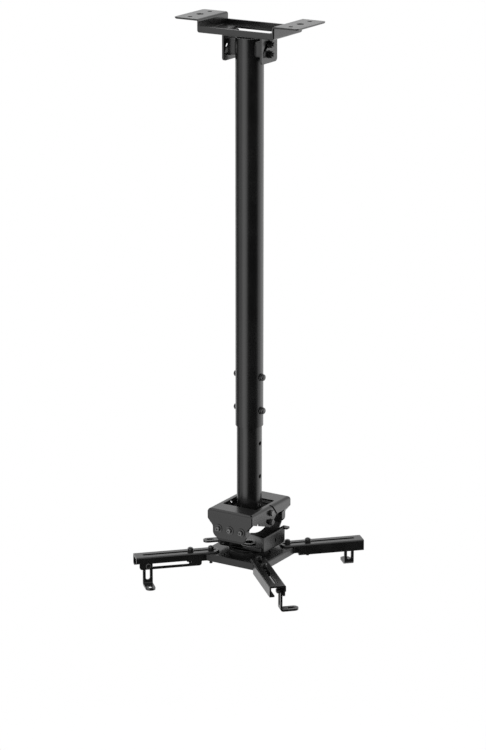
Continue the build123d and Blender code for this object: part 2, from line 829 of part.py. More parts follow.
save(
    washer(Plane.XY.offset(hub_collar_z), hub_collar_diameter, hub_diameter, hub_collar_height),
    "hub_collar",
)

# Spider plate: a square pan turned upside down, with a stub towards each arm
arm_stud_reaches = (arm_stud_inner, arm_stud_outer)
with BuildPart() as spider_plate:
    with BuildSketch(Plane.XY.offset(spider_top)) as spider_outline:
        Rectangle(spider_width, spider_width)
        with PolarLocations(stub_reach / 2, arm_count, start_angle=arm_first_angle):
            Rectangle(stub_reach, 2 * stub_half)
        fillet(vertices(), spider_fillet)
    extrude(amount=-spider_flange)
    fillet(spider_plate.edges().group_by(Axis.Z)[-1], head_sheet * sheet_bend_share)
    with BuildSketch(Plane.XY.offset(spider_under)):
        add(spider_outline.sketch_local)
        offset(amount=-head_sheet, mode=Mode.REPLACE)
    extrude(amount=-spider_flange, mode=Mode.SUBTRACT)
    with BuildSketch(Plane.XY.offset(spider_top)):
        Circle(hub_diameter / 2 + thread_gap)
        for reach in arm_stud_reaches:
            with PolarLocations(reach, arm_count, start_angle=arm_first_angle):
                Circle(m5 / 2 + thread_gap)
    extrude(amount=-head_sheet, mode=Mode.SUBTRACT)
save(spider_plate.part, "spider_plate")


def arm_axes(angle):
    """Directions along an arm and across it (anticlockwise), seen from above."""
    turn = math.radians(angle)
    return Vector(math.cos(turn), math.sin(turn), 0), Vector(-math.sin(turn), math.cos(turn), 0)


def arm_point(angle, along, across, z):
    """A point given along and across an arm, at a level."""
    ahead, aside = arm_axes(angle)
    return ahead * along + aside * across + Vector(0, 0, z)


def level_plane(angle, along, across, z):
    """A level plane at a point of an arm, with its x axis along the arm."""
    return Plane(origin=arm_point(angle, along, across, z), x_dir=arm_axes(angle)[0], z_dir=(0, 0, 1))


def wall_plane(angle, across):
    """The upright plane beside an arm, with x along the arm, y up, facing clockwise."""
    ahead, aside = arm_axes(angle)
    return Plane(origin=aside * across, x_dir=ahead, z_dir=aside * -1)


# Arm studs, washers and nuts: two of each on every stub
stud_seats = [(angle, reach) for angle in arm_angles for reach in arm_stud_reaches]
arm_washer_z = arm_top + slide_gap
arm_nut_z = arm_washer_z + m5_washer_thick
arm_stud_length = arm_nut_z + m5_nut + stud_proud / 2 - spider_top + arm_stud_below
save(
    group(rod(level_plane(a, r, 0, spider_top - arm_stud_below), m5, arm_stud_length) for a, r in stud_seats),
    "arm_studs",
)
save(
    group(washer(level_plane(a, r, 0, arm_washer_z), m5_washer, m5, m5_washer_thick) for a, r in stud_seats),
    "arm_washers",
)
save(
    group(nut(level_plane(a, r, 0, arm_nut_z), m5_flats, m5_nut, m5, arm_nut_turn) for a, r in stud_seats),
    "arm_nuts",
)


def arm(angle):
    """An arm: a folded channel with a slotted top, a lipped wall and a slotted foot wall."""
    half = arm_width / 2
    wall_length = arm_outer - arm_wall_start
    with BuildPart() as channel:
        with BuildSketch(level_plane(angle, 0, 0, arm_under)):
            with Locations(((arm_inner + arm_outer) / 2, 0)):
                Rectangle(arm_outer - arm_inner, arm_width)
            fillet(vertices().group_by(Axis.X)[0], arm_end_round)
            with Locations(((arm_slot_inner + arm_slot_outer) / 2, 0)):
                SlotOverall(arm_slot_outer - arm_slot_inner, m5 + 2 * slot_gap, mode=Mode.SUBTRACT)
        extrude(amount=head_sheet)
        # Lipped wall on the clockwise side
        with BuildSketch(wall_plane(angle, head_sheet - half)):
            with Locations(((arm_wall_start + arm_outer) / 2, arm_top - arm_wall / 2)):
                Rectangle(wall_length, arm_wall)
        extrude(amount=head_sheet)
        with BuildSketch(wall_plane(angle, arm_lip - half)):
            with Locations(((arm_wall_start + arm_outer) / 2, arm_top - arm_wall + head_sheet / 2)):
                Rectangle(wall_length, head_sheet)
        extrude(amount=arm_lip)
        # Foot wall on the anticlockwise side, stepped in at both ends
        with BuildSketch(wall_plane(angle, half)):
            with Locations(((foot_wall_inner + foot_wall_outer) / 2, arm_top - foot_wall / 2)):
                Rectangle(foot_wall_outer - foot_wall_inner, foot_wall)
            fillet(vertices().group_by(Axis.Y)[0], foot_wall_round)
            with Locations(((arm_wall_start + arm_outer) / 2, arm_top - foot_wall_step / 2)):
                Rectangle(wall_length, foot_wall_step)
            with Locations(((side_slot_inner + side_slot_outer) / 2, foot_bolt_z)):
                SlotOverall(side_slot_outer - side_slot_inner, m5 + 2 * slide_gap, mode=Mode.SUBTRACT)
        extrude(amount=head_sheet)
        top_edges = channel.edges().group_by(Axis.Z)[-1].filter_by(Axis((0, 0, 0), arm_axes(angle)[0]))
        fillet(top_edges.group_by(SortBy.LENGTH)[-1], head_sheet * sheet_bend_share)
    return channel.part


def foot_bolt(angle):
    """A button bolt through an arm's side slot and its foot."""
    ahead, aside = arm_axes(angle)
    seat = Plane(
        origin=arm_point(angle, foot_rest, arm_width / 2 + slide_gap, foot_bolt_z), x_dir=ahead, z_dir=aside
    )
    grip = head_sheet + 3 * slide_gap + foot_sheet + m5_nut + stud_proud / 2
    return button_bolt(seat, m5, grip, m5_head, m5_head_height)


def foot_nut(angle):
    """The nut inside the arm that clamps a foot."""
    ahead, aside = arm_axes(angle)
    seat_across = foot_inner_across - slide_gap
    seat = Plane(origin=arm_point(angle, foot_rest, seat_across, foot_bolt_z), x_dir=ahead, z_dir=aside * -1)
    return nut(seat, m5_flats, m5_nut, m5)


def foot(angle):
    """An L-shaped foot: a slotted strip inside the foot wall and a slotted tab outwards."""
    ahead, aside = arm_axes(angle)
    strip_across = foot_outer_across - foot_sheet / 2
    strip_top = foot_bolt_z + foot_above_bolt
    tab_z = arm_top - foot_drop + foot_sheet / 2
    profile = Plane(origin=ahead * foot_rest, x_dir=aside, z_dir=ahead)
    with BuildPart() as strip:
        with BuildSketch(profile):
            with BuildLine():
                FilletPolyline(
                    (strip_across, strip_top),
                    (strip_across, tab_z),
                    (foot_inner_across + foot_reach, tab_z),
                    radius=bend_radius,
                )
            trace(line_width=foot_sheet)
        extrude(amount=foot_width / 2, both=True)
        tip = strip.edges().filter_by(Axis.Z).sort_by(Axis((0, 0, 0), aside))[-2:]
        fillet(tip, foot_tab_round)
        with BuildSketch(wall_plane(angle, foot_outer_across)):
            with Locations((foot_rest, foot_bolt_z - foot_slot_length / 2)):
                SlotCenterToCenter(foot_slot_length, foot_slot, rotation=90)
        extrude(amount=2 * foot_sheet, both=True, mode=Mode.SUBTRACT)
        with BuildSketch(level_plane(angle, foot_rest, foot_inner_across + foot_tab_slot_reach, tab_z)):
            SlotOverall(foot_tab_slot_length, foot_tab_slot, rotation=90)
        extrude(amount=foot_sheet, both=True, mode=Mode.SUBTRACT)
    return strip.part


for number, angle in enumerate(arm_angles, start=1):
    save(arm(angle), f"arm_{number}")
    save(foot_bolt(angle), f"foot_bolt_{number}")
    save(foot_nut(angle), f"foot_nut_{number}")
    save(foot(angle), f"foot_{number}")
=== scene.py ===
"""Studio scene of a telescopic ceiling mount: finishes, threads, welds, light and camera."""
import json
import logging
import math
from dataclasses import dataclass, field
from enum import Enum
from typing import Any, Iterable, Sequence, Union

import bpy
from mathutils import Matrix, Vector


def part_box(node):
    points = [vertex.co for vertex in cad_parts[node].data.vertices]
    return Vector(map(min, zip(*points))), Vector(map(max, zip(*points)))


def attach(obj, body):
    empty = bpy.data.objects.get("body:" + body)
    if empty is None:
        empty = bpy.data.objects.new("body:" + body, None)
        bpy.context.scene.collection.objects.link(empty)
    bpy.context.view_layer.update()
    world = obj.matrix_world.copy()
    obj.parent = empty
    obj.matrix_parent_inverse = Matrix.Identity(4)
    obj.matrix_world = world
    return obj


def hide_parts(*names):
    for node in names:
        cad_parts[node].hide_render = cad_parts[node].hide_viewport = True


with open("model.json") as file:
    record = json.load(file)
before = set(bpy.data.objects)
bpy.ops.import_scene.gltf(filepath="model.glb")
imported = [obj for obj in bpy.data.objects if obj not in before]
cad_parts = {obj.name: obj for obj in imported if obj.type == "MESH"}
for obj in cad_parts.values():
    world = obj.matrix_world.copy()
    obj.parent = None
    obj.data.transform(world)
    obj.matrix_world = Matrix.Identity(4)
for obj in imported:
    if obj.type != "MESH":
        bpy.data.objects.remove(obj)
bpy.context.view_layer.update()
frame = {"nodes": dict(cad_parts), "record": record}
LOG = logging.getLogger("ceiling_mount")
MM = 0.001
NOISE_MIDDLE = 0.5
CORNER_DIGITS = 6

Box = tuple[Vector, Vector]
Number = Union[float, "Signal"]
Many = Union[Sequence[float], "Signal"]


class Slot(Enum):
    """Finish slots of the record."""

    POWDER_COAT = "powder_coat"
    BLACK_ZINC = "black_zinc"
    BLACK_OXIDE = "black_oxide"


class Along(Enum):
    """Axes that a piece can be laid along."""

    X = 0
    Y = 1
    Z = 2

    @property
    def turn(self) -> Matrix:
        """Rotation that lays a piece made along +Z along this axis."""
        turns = {
            Along.X: Matrix.Rotation(math.pi / 2, 4, "Y"),
            Along.Y: Matrix.Rotation(-math.pi / 2, 4, "X"),
            Along.Z: Matrix.Identity(4),
        }
        return turns[self]


class Signal:
    """An output socket of a shader graph; arithmetic on it adds Math nodes."""

    def __init__(self, graph: "Graph", socket: bpy.types.NodeSocket) -> None:
        """Keeps the graph and the socket.

        Args:
            graph: The graph that holds the socket's node.
            socket: The output socket to wrap.
        """
        self.graph = graph
        self.socket = socket

    def _math(self, operation: str, first: Number, second: Number) -> "Signal":
        """Adds a Math node.

        Args:
            operation: The node's operation.
            first: Value or signal of the first input.
            second: Value or signal of the second input.

        Returns:
            The node's result.
        """
        return self.graph.node("ShaderNodeMath", {"operation": operation}, {0: first, 1: second})

    def __add__(self, other: Number) -> "Signal":
        """Sum."""
        return self._math("ADD", self, other)

    def __radd__(self, other: Number) -> "Signal":
        """Reflected sum."""
        return self._math("ADD", other, self)

    def __sub__(self, other: Number) -> "Signal":
        """Difference."""
        return self._math("SUBTRACT", self, other)

    def __rsub__(self, other: Number) -> "Signal":
        """Reflected difference."""
        return self._math("SUBTRACT", other, self)

    def __mul__(self, other: Number) -> "Signal":
        """Product."""
        return self._math("MULTIPLY", self, other)

    def __rmul__(self, other: Number) -> "Signal":
        """Reflected product."""
        return self._math("MULTIPLY", other, self)


class Graph:
    """A node tree that is filled by expressions."""

    def __init__(self, tree: bpy.types.NodeTree) -> None:
        """Empties the tree.

        Args:
            tree: The node tree of a material or a world.
        """
        self.tree = tree
        tree.nodes.clear()

    def node(
        self,
        kind: str,
        settings: dict[str, Any] | None = None,
        inputs: dict[str | int, Any] | None = None,
        output: str | int = 0,
    ) -> Signal:
        """Adds one node.

        Args:
            kind: The node's type.
            settings: Attributes of the node, set before its sockets.
            inputs: Values or signals of its input sockets.
            output: The output socket to return.

        Returns:
            The chosen output, or the node's first input for a node with no output.
        """
        made = self.tree.nodes.new(kind)
        for name, value in (settings or {}).items():
            setattr(made, name, value)
        for key, value in (inputs or {}).items():
            socket = made.inputs[key]
            if isinstance(value, Signal):
                self.tree.links.new(value.socket, socket)
            else:
                socket.default_value = value
        return Signal(self, made.outputs[output] if made.outputs else made.inputs[0])

    def noise(self, scale: float, detail: float) -> Signal:
        """Adds noise on Object coordinates.

        Args:
            scale: Cells in a metre.
            detail: Octaves.

        Returns:
            The noise value, from 0 to 1.
        """
        place = self.node("ShaderNodeTexCoord", output="Object")
        inputs = {"Vector": place, "Scale": scale, "Detail": detail}
        return self.node("ShaderNodeTexNoise", None, inputs)

    def ramp(
        self, value: Signal, low: float, high: float, to_low: float = 0.0, to_high: float = 1.0
    ) -> Signal:
        """Maps a value smoothly from one span to another.

        Args:
            value: The signal to map.
            low: Start of its span.
            high: End of its span.
            to_low: Result at the start.
            to_high: Result at the end.

        Returns:
            The mapped value.
        """
        span = {"From Min": low, "From Max": high, "To Min": to_low, "To Max": to_high}
        return self.node(
            "ShaderNodeMapRange", {"interpolation_type": "SMOOTHSTEP"}, {"Value": value, **span}
        )

    def dot(self, first: Many, second: Many) -> Signal:
        """Multiplies two vectors into one number.

        Args:
            first: A vector.
            second: Another one.

        Returns:
            Their dot product.
        """
        return self.node(
            "ShaderNodeVectorMath", {"operation": "DOT_PRODUCT"}, {0: first, 1: second}, "Value"
        )

    def clamp(self, value: Signal) -> Signal:
        """Keeps a value from 0 to 1.

        Args:
            value: The signal to limit.

        Returns:
            The limited value.
        """
        return self.node("ShaderNodeClamp", None, {"Value": value})

    def rays(self, *kinds: str) -> Signal:
        """Tells kinds of light ray from the rest.

        Args:
            kinds: Outputs of the Light Path node.

        Returns:
            1 for a ray of one of the kinds, 0 for any other.
        """
        return self.clamp(sum(self.node("ShaderNodeLightPath", output=kind) for kind in kinds))

    def blend(self, factor: Signal, first: Many, second: Many) -> Signal:
        """Mixes two colours.

        Args:
            factor: Share of the second colour.
            first: Colour at 0.
            second: Colour at 1.

        Returns:
            The mixed colour.
        """
        inputs = {"Factor": factor, "A": first, "B": second}
        return self.node("ShaderNodeMix", {"data_type": "RGBA"}, inputs, "Result")


def grey(value: float) -> tuple[float, float, float, float]:
    """A neutral colour.

    Args:
        value: Its linear value.

    Returns:
        The opaque colour.
    """
    return (value, value, value, 1.0)


def new_material(name: str) -> tuple[bpy.types.Material, Graph]:
    """Starts a material.

    Args:
        name: The material's name.

    Returns:
        The material and its empty graph.
    """
    material = bpy.data.materials.new(name)
    material.use_nodes = True
    return material, Graph(material.node_tree)


@dataclass(frozen=True)
class CoatedSteel:
    """Black coating on steel: a soft orange peel, softened edges with a lighter colour that is
    partly thinner coat and partly a painted highlight, and a thin, uneven gloss.
    """

    name: str
    dark: float = 0.0038
    light: float = 0.0060
    # Colour of the edges: partly thinner coat, partly a painted highlight where the edges catch
    # light.
    edge: float = 0.016
    edge_turn: tuple[float, float] = (0.004, 0.12)
    edge_radius: float = 0.0002
    edge_samples: int = 6
    roughness: float = 0.26
    roughness_spread: float = 0.08
    cloud_scale: float = 28.0
    cloud_detail: float = 4.0
    cloud_span: tuple[float, float] = (0.35, 0.65)
    peel_scale: float = 900.0
    peel_detail: float = 2.0
    peel_height: float = 0.00002
    grain_scale: float = 5200.0
    grain_detail: float = 1.0
    grain_share: float = 0.25
    specular: float = 0.5

    def build(self) -> bpy.types.Material:
        """Makes the material.

        Returns:
            The finished material.
        """
        material, graph = new_material(self.name)
        rounded = graph.node(
            "ShaderNodeBevel", {"samples": self.edge_samples}, {"Radius": self.edge_radius}
        )
        flat = graph.node("ShaderNodeNewGeometry", output="Normal")
        # Mask for the lighter edge colour: partly thinner coat over the edges, partly a painted
        # highlight.
        edge = graph.ramp(1 - graph.dot(rounded, flat), *self.edge_turn)
        cloud = graph.noise(self.cloud_scale, self.cloud_detail)
        body = graph.blend(graph.ramp(cloud, *self.cloud_span), grey(self.dark), grey(self.light))
        colour = graph.blend(edge, body, grey(self.edge))
        peel = graph.noise(self.peel_scale, self.peel_detail)
        grain = graph.noise(self.grain_scale, self.grain_detail)
        height = peel + grain * self.grain_share
        bump = graph.node(
            "ShaderNodeBump", None,
            {"Strength": 1.0, "Distance": self.peel_height, "Height": height, "Normal": rounded},
        )
        gloss = self.roughness
        for unevenness in (cloud, peel):
            gloss = gloss + (unevenness - NOISE_MIDDLE) * self.roughness_spread
        inputs = {"Roughness": gloss, "Specular IOR Level": self.specular, "Normal": bump}
        surface = graph.node("ShaderNodeBsdfPrincipled", None, {"Base Color": colour, **inputs})
        graph.node("ShaderNodeOutputMaterial", None, {"Surface": surface})
        return material


@dataclass(frozen=True)
class PlatedSteel:
    """Dark plating on turned steel: metallic, with fine tool marks and softened edges."""

    name: str
    dark: float = 0.08
    light: float = 0.13
    metallic: float = 0.85
    edge_radius: float = 0.0003
    edge_samples: int = 6
    roughness: float = 0.18
    roughness_spread: float = 0.10
    cloud_scale: float = 160.0
    cloud_detail: float = 3.0
    cloud_span: tuple[float, float] = (0.3, 0.7)
    mark_scale: float = 2600.0
    mark_detail: float = 2.0
    mark_height: float = 0.00001

    def build(self) -> bpy.types.Material:
        """Makes the material.

        Returns:
            The finished material.
        """
        material, graph = new_material(self.name)
        rounded = graph.node(
            "ShaderNodeBevel", {"samples": self.edge_samples}, {"Radius": self.edge_radius}
        )
        cloud = graph.noise(self.cloud_scale, self.cloud_detail)
        marks = graph.noise(self.mark_scale, self.mark_detail)
        colour = graph.blend(graph.ramp(cloud, *self.cloud_span), grey(self.dark), grey(self.light))
        bump = graph.node(
            "ShaderNodeBump", None,
            {"Strength": 1.0, "Distance": self.mark_height, "Height": marks, "Normal": rounded},
        )
        gloss = self.roughness + (marks - NOISE_MIDDLE) * self.roughness_spread
        inputs = {"Metallic": self.metallic, "Roughness": gloss, "Normal": bump}
        surface = graph.node("ShaderNodeBsdfPrincipled", None, {"Base Color": colour, **inputs})
        graph.node("ShaderNodeOutputMaterial", None, {"Surface": surface})
        return material


def deselect() -> None:
    """Leaves nothing selected and no object in edit mode."""
    if bpy.context.object and bpy.context.object.mode != "OBJECT":
        bpy.ops.object.mode_set(mode="OBJECT")
    bpy.ops.object.select_all(action="DESELECT")


def solids_of(node: str) -> list[Box]:
    """Boxes of a CAD node's separate solids.

    Args:
        node: The node's name.

    Returns:
        Lowest and highest corner of each solid, in the order of their first vertex.
    """
    mesh = frame["nodes"][node].data
    keys = [tuple(round(c, CORNER_DIGITS) for c in vertex.co) for vertex in mesh.vertices]
    parent: dict[tuple[float, ...], tuple[float, ...]] = {key: key for key in keys}

    def root(key: tuple[float, ...]) -> tuple[float, ...]:
        """The key that stands for a vertex's solid."""
        while parent[key] != key:
            parent[key] = parent[parent[key]]
            key = parent[key]
        return key

    for polygon in mesh.polygons:
        first, *others = [keys[index] for index in polygon.vertices]
        for other in others:
            parent[root(other)] = root(first)
    groups: dict[tuple[float, ...], list[tuple[float, ...]]] = {}
    for key in dict.fromkeys(keys):
        groups.setdefault(root(key), []).append(key)
    return [
        (Vector(map(min, zip(*points))), Vector(map(max, zip(*points))))
        for points in groups.values()
    ]


def place_copies(
    model: bpy.types.Object, name: str, places: Iterable[Matrix]
) -> bpy.types.Object:
    """Copies a model to several places and joins the copies into one piece.

    Args:
        model: The object to copy; it is removed afterwards.
        name: Name of the joined piece.
        places: Transform of each copy.

    Returns:
        The joined piece, at the origin.
    """
    deselect()
    copies = []
    for place in places:
        copy = model.copy()
        copy.data = model.data.copy()
        copy.data.transform(place)
        bpy.context.scene.collection.objects.link(copy)
        copies.append(copy)
    bpy.data.objects.remove(model)
    for copy in copies:
        copy.select_set(True)
    bpy.context.view_layer.objects.active = copies[0]
    if len(copies) > 1:
        bpy.ops.object.join()
    piece = bpy.context.view_layer.objects.active
    piece.name = name
    piece.data.name = name
    return piece


def apply_modifier(piece: bpy.types.Object, kind: str, **settings: Any) -> None:
    """Adds a modifier to an object and applies it.

    Args:
        piece: The active object.
        kind: The modifier's type.
        settings: Its settings.
    """
    modifier = piece.modifiers.new(kind.lower(), kind)
    for name, value in settings.items():
        setattr(modifier, name, value)
    bpy.ops.object.modifier_apply(modifier=modifier.name)


def finish_piece(
    piece: bpy.types.Object, material: bpy.types.Material, body: str
) -> None:
    """Dresses a new piece and lets it ride on a body.

    Args:
        piece: The piece.
        material: Its finish.
        body: The CAD body that it moves with.
    """
    piece.data.materials.clear()
    piece.data.materials.append(material)
    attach(piece, body)
    LOG.info("%s: %d faces, on %s", piece.name, len(piece.data.polygons), body)


class Thread(Enum):
    """Coarse metric threads: diameter and pitch in millimetres."""

    M5 = (5.0, 0.8)
    M6 = (6.0, 1.0)


@dataclass
class ThreadedStud:
    """A stud with a real helical thread from end to end."""

    thread: Thread
    depth_share: float = 0.55
    steps: int = 28
    spare_turns: int = 2
    merge_share: float = 0.01
    smooth_deg: float = 25.0

    @property
    def radius(self) -> float:
        """Radius over the thread's crests."""
        return self.thread.value[0] / 2 * MM

    @property
    def pitch(self) -> float:
        """Rise in one turn."""
        return self.thread.value[1] * MM

    @property
    def depth(self) -> float:
        """Depth of the thread's groove."""
        return self.pitch * self.depth_share

    def model(self, length: float) -> bpy.types.Object:
        """Models one stud from the origin along +Z.

        Args:
            length: The stud's length.

        Returns:
            The stud.
        """
        deselect()
        turns = math.ceil(length / self.pitch) + self.spare_turns
        bpy.ops.mesh.primitive_circle_add(vertices=3, radius=self.pitch, fill_type="NOTHING")
        stud = bpy.context.object
        profile = (
            (self.radius - self.depth, -self.pitch),
            (self.radius, -self.pitch / 2),
            (self.radius - self.depth, 0.0),
        )
        for vertex, (reach, height) in zip(stud.data.vertices, profile):
            vertex.co = (reach, 0.0, height)
        bpy.ops.object.mode_set(mode="EDIT")
        bpy.ops.mesh.select_mode(type="EDGE")
        bpy.ops.mesh.select_all(action="DESELECT")
        bpy.ops.object.mode_set(mode="OBJECT")
        closing_edge = [0, 2]
        for edge in stud.data.edges:
            edge.select = sorted(edge.vertices) == closing_edge
        bpy.ops.object.mode_set(mode="EDIT")
        bpy.ops.mesh.delete(type="EDGE_FACE")
        bpy.ops.object.mode_set(mode="OBJECT")
        apply_modifier(
            stud, "SCREW", steps=self.steps, render_steps=self.steps, screw_offset=self.pitch,
            iterations=turns, axis="Z", use_normal_calculate=True,
        )
        bpy.ops.object.mode_set(mode="EDIT")
        bpy.ops.mesh.select_all(action="SELECT")
        bpy.ops.mesh.remove_doubles(threshold=self.pitch * self.merge_share)
        for height, normal in ((0.0, -1.0), (length, 1.0)):
            bpy.ops.mesh.select_all(action="SELECT")
            bpy.ops.mesh.bisect(
                plane_co=(0.0, 0.0, height), plane_no=(0.0, 0.0, normal),
                use_fill=True, clear_outer=True,
            )
        bpy.ops.mesh.select_all(action="SELECT")
        bpy.ops.mesh.normals_make_consistent(inside=False)
        bpy.ops.object.mode_set(mode="OBJECT")
        bpy.ops.object.shade_smooth_by_angle(angle=math.radians(self.smooth_deg))
        return stud

    def replace(
        self, node: str, along: Along, body: str, material: bpy.types.Material
    ) -> bpy.types.Object:
        """Puts threaded studs in the place of a CAD node's plain ones.

        Args:
            node: The CAD node of the studs.
            along: The axis that they lie along.
            body: Their body.
            material: Their finish.

        Returns:
            The piece that stands for the node.
        """
        boxes = solids_of(node)
        low, high = boxes[0]
        length = high[along.value] - low[along.value]
        places = []
        for low, high in boxes:
            foot = (low + high) / 2
            foot[along.value] = low[along.value]
            places.append(Matrix.Translation(foot) @ along.turn)
        piece = place_copies(self.model(length), f"{node}_threaded", places)
        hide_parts(node)
        finish_piece(piece, material, body)
        return piece


@dataclass
class WeldBead:
    """A run of weld drops that were melted into each other.

    A drop is a sphere, with its segments and rings given for straight runs and for rings.
    """

    radius: float = 1.2 * MM
    step: float = 1.0 * MM
    voxel: float = 0.3 * MM
    run_drop: tuple[int, int] = (16, 10)
    ring_drop: tuple[int, int] = (14, 8)
    smoothing: float = 0.5
    smooth_passes: int = 2

    def straight(self, length: float) -> bpy.types.Object:
        """Models a bead from the origin along +Z.

        Args:
            length: The bead's length.

        Returns:
            The bead.
        """
        deselect()
        segments, rings = self.run_drop
        bpy.ops.mesh.primitive_uv_sphere_add(
            segments=segments, ring_count=rings, radius=self.radius
        )
        bead = bpy.context.object
        apply_modifier(
            bead, "ARRAY", count=max(2, round(length / self.step)), use_relative_offset=False,
            use_constant_offset=True, constant_offset_displace=(0.0, 0.0, self.step),
        )
        return self._melt(bead)

    def ring(self, reach: float) -> bpy.types.Object:
        """Models a bead around the Z axis at the origin.

        Args:
            reach: Radius of the bead's centre line.

        Returns:
            The bead.
        """
        count = round(math.tau * reach / self.step)
        deselect()
        segments, rings = self.ring_drop
        bpy.ops.mesh.primitive_uv_sphere_add(
            segments=segments, ring_count=rings, radius=self.radius, location=(reach, 0.0, 0.0)
        )
        bpy.ops.object.transform_apply(location=True)
        drop = bpy.context.object
        places = [Matrix.Rotation(math.tau * index / count, 4, "Z") for index in range(count)]
        return self._melt(place_copies(drop, "weld_ring", places))

    def _melt(self, bead: bpy.types.Object) -> bpy.types.Object:
        """Fuses the drops into one skin.

        Args:
            bead: The drops.

        Returns:
            The same object, as one closed mesh.
        """
        bpy.context.view_layer.objects.active = bead
        apply_modifier(
            bead, "REMESH", mode="VOXEL", voxel_size=self.voxel, use_smooth_shade=True
        )
        apply_modifier(bead, "SMOOTH", factor=self.smoothing, iterations=self.smooth_passes)
        return bead


@dataclass
class Welds:
    """The weld runs of the mount, placed from the CAD boxes."""

    bead: WeldBead = field(default_factory=WeldBead)
    inset: float = 1.5 * MM
    hanger_share: float = 0.7

    def build(self, material: bpy.types.Material) -> None:
        """Makes all the runs.

        Args:
            material: The coating over the welds.
        """
        self._lugs(material)
        self._pole_foot(material)
        self._hangers(material)

    def _lugs(self, material: bpy.types.Material) -> None:
        """Upright runs where each lug meets the pole.

        Args:
            material: The coating over the welds.
        """
        tube_low, tube_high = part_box("outer_tube")
        radius = (tube_high.x - tube_low.x) / 2
        low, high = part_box("lug_right")
        lead = self.inset + 2 * self.bead.radius
        length = high.z - low.z - 2 * lead
        reach = math.sqrt(radius**2 - high.y**2)
        places = []
        for side_x in (-1, 1):
            for side_y in (-1, 1):
                foot = Vector((side_x * reach, side_y * high.y, low.z + lead))
                places.append(Matrix.Translation(foot))
        piece = place_copies(self.bead.straight(length), "lug_welds", places)
        finish_piece(piece, material, "pole")

    def _pole_foot(self, material: bpy.types.Material) -> None:
        """A ring where the inner tube stands on its plate.

        Args:
            material: The coating over the welds.
        """
        low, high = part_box("inner_tube")
        reach = (high.x - low.x) / 2
        ring = self.bead.ring(reach)
        foot = Matrix.Translation((0.0, 0.0, low.z))
        piece = place_copies(ring, "pole_foot_weld", [foot])
        finish_piece(piece, material, "inner_pole")

    def _hangers(self, material: bpy.types.Material) -> None:
        """Runs along the outer edges of the hangers' flanges, under the tray.

        Args:
            material: The coating over the welds.
        """
        tray_low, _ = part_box("ceiling_bracket")
        low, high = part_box("hanger_right")
        length = (high.y - low.y) * self.hanger_share
        places = []
        for side in (-1, 1):
            foot = Vector((side * high.x, -length / 2, tray_low.z))
            places.append(Matrix.Translation(foot) @ Along.Y.turn)
        piece = place_copies(self.bead.straight(length), "hanger_welds", places)
        finish_piece(piece, material, "ceiling")


@dataclass
class Dressing:
    """Finishes of the CAD nodes, by the record's slots, with a second look for some nodes."""

    coat: bpy.types.Material
    shaded_coat: bpy.types.Material
    zinc: bpy.types.Material
    oxide: bpy.types.Material
    glint_plating: bpy.types.Material
    # Copy of the coat with weaker reflection on the cradle and the spider: painted shade that
    # renders them darker.
    shaded_nodes: tuple[str, ...] = ("roll_cradle", "spider_plate")
    # Lighter copy of the dark plating on these heads and the collar: a painted highlight that
    # stands in for their glints.
    glint_nodes: tuple[str, ...] = ("tilt_bolts", "roll_bolts", "hub_collar")

    def dress(self) -> None:
        """Gives every CAD node its own second look, or else the finish of its slot."""
        finishes = {
            Slot.POWDER_COAT.value: self.coat,
            Slot.BLACK_ZINC.value: self.zinc,
            Slot.BLACK_OXIDE.value: self.oxide,
        }
        special = dict.fromkeys(self.shaded_nodes, self.shaded_coat)
        special |= dict.fromkeys(self.glint_nodes, self.glint_plating)
        for part in frame["record"]["subparts"]:
            node = frame["nodes"][part["node"]]
            finish = special.get(part["node"], finishes[part["material_slot"]])
            node.data.materials.clear()
            node.data.materials.append(finish)
            LOG.info("%s: %s", part["node"], finish.name)


@dataclass(frozen=True)
class PhotoCamera:
    """The photograph's viewpoint."""

    azimuth: float = math.radians(31.49)
    pitch: float = math.radians(16.42)
    distance: float = 4.3626
    target_right: float = -0.00960
    target_height: float = -0.5366
    focal_pixels: float = 2912.8
    frame_pixels: float = 750.0
    sensor: float = 36.0
    clip_end: float = 50.0

    @property
    def towards(self) -> Vector:
        """Direction from the object to the camera."""
        level = math.cos(self.pitch)
        return Vector(
            (math.sin(self.azimuth) * level, -math.cos(self.azimuth) * level, math.sin(self.pitch))
        )

    @property
    def right(self) -> Vector:
        """The camera's right-hand direction."""
        return Vector((math.cos(self.azimuth), math.sin(self.azimuth), 0.0))

    def level_direction(self, turn_deg: float) -> Vector:
        """A level direction, turned from the camera's side to its right.

        Args:
            turn_deg: Angle from the direction towards the camera.

        Returns:
            The unit direction.
        """
        turn = math.radians(turn_deg)
        ahead = self.towards.copy()
        ahead.z = 0.0
        return ahead.normalized() * math.cos(turn) + self.right * math.sin(turn)

    def build(self) -> None:
        """Adds the camera to the scene."""
        data = bpy.data.cameras.new("photo_camera")
        data.sensor_width = self.sensor
        data.lens = self.focal_pixels / self.frame_pixels * self.sensor
        data.clip_end = self.clip_end
        camera = bpy.data.objects.new("photo_camera", data)
        camera.location = self.right * self.target_right + Vector((0, 0, self.target_height))
        camera.location += self.towards * self.distance
        camera.rotation_euler = self.towards.to_track_quat("Z", "Y").to_euler()
        bpy.context.scene.collection.objects.link(camera)
        bpy.context.scene.camera = camera


@dataclass(frozen=True)
class Panel:
    """A soft bright zone of the studio's walls, centred on a level direction."""

    turn_deg: float
    full_deg: float
    none_deg: float
    strength: float

    def light(self, graph: Graph, level: Signal, camera: PhotoCamera) -> Signal:
        """Adds the panel's light to a world.

        Args:
            graph: The world's graph.
            level: The level direction that is looked along.
            camera: The camera that the panel's turn is counted from.

        Returns:
            Full strength within full_deg of the panel's middle, fading to none at none_deg.
        """
        towards = camera.level_direction(self.turn_deg)
        none, full = (math.cos(math.radians(angle)) for angle in (self.none_deg, self.full_deg))
        return graph.ramp(graph.dot(level, towards), none, full, 0.0, self.strength)


